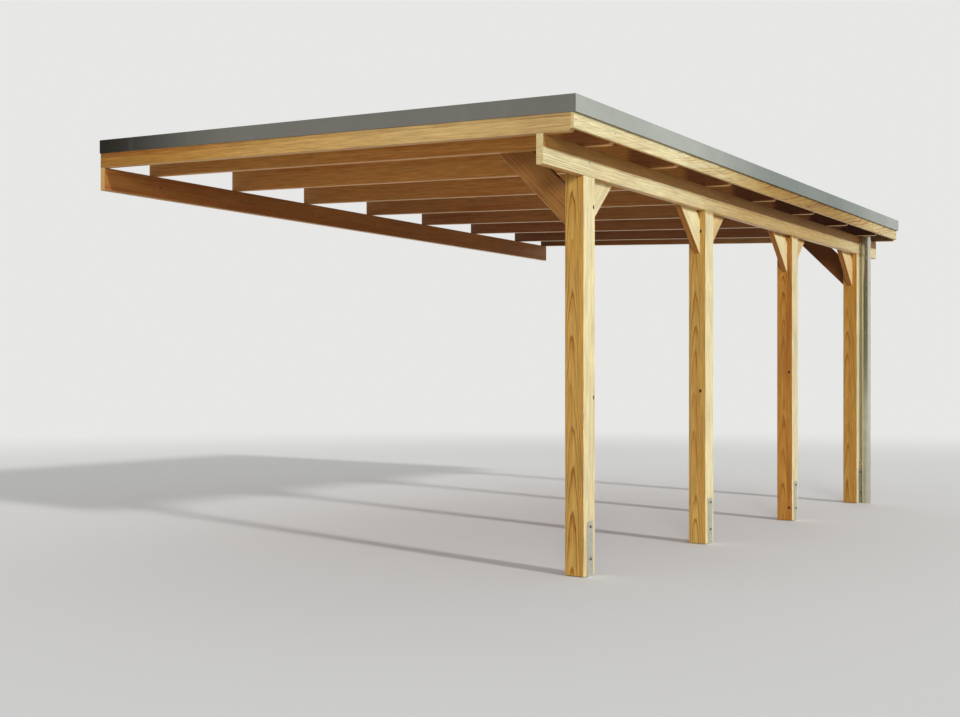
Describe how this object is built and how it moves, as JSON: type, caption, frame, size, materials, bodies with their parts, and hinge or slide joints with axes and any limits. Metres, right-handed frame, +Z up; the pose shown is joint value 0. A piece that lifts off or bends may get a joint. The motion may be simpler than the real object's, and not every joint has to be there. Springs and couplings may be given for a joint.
{
  "type": "lean-to carport",
  "caption": "Lean-to timber carport: rafters from a wall ledger to a purlin on braced posts, flat boarded roof with metal edging and a round downpipe.",
  "frame": {"origin": "centre of the wall ledger's back face, on the plane of the house wall", "axes": "+X out from the wall, +Y along the roof towards its rear end, +Z up"},
  "size_m": [3.739, 5.705, 2.6959],
  "materials": {
    "timber": "planed softwood, clear satin glaze, honey coloured",
    "deck_boards": "planed tongued boards with V joints",
    "edge_metal": "folded sheet, dull grey",
    "membrane": "matt black sheet with lapped joints",
    "pipe_metal": "smooth bright metal pipe",
    "galvanised_steel": "hot-dip galvanised, spangled"
  },
  "bodies": {
    "root": {"cross_brace_1": "timber", "cross_brace_4": "timber", "downpipe": "pipe_metal", "front_edge_kerb": "timber", "front_edge_trim": "edge_metal", "front_verge_rafter": "timber", "knee_brace_1_rear": "timber", "knee_brace_2_front": "timber", "knee_brace_2_rear": "timber", "knee_brace_3_front": "timber", "knee_brace_3_rear": "timber", "knee_brace_4_front": "timber", "outer_edge_kerb": "timber", "outer_edge_trim": "edge_metal", "outer_fascia": "timber", "outer_purlin": "timber", "pipe_clip_lower": "pipe_metal", "pipe_clip_upper": "pipe_metal", "post_1": "timber", "post_2": "timber", "post_3": "timber", "post_4": "timber", "post_anchor_1": "galvanised_steel", "post_anchor_2": "galvanised_steel", "post_anchor_3": "galvanised_steel", "post_anchor_4": "galvanised_steel", "rafter_1": "timber", "rafter_2": "timber", "rafter_3": "timber", "rafter_4": "timber", "rafter_5": "timber", "rafter_6": "timber", "rafter_7": "timber", "rear_edge_kerb": "timber", "rear_edge_trim": "edge_metal", "rear_verge_rafter": "timber", "roof_deck": "deck_boards", "roof_membrane": "membrane", "roof_outlet": "edge_metal", "wall_flashing": "edge_metal", "wall_ledger": "timber"}
  },
  "joints": []
}
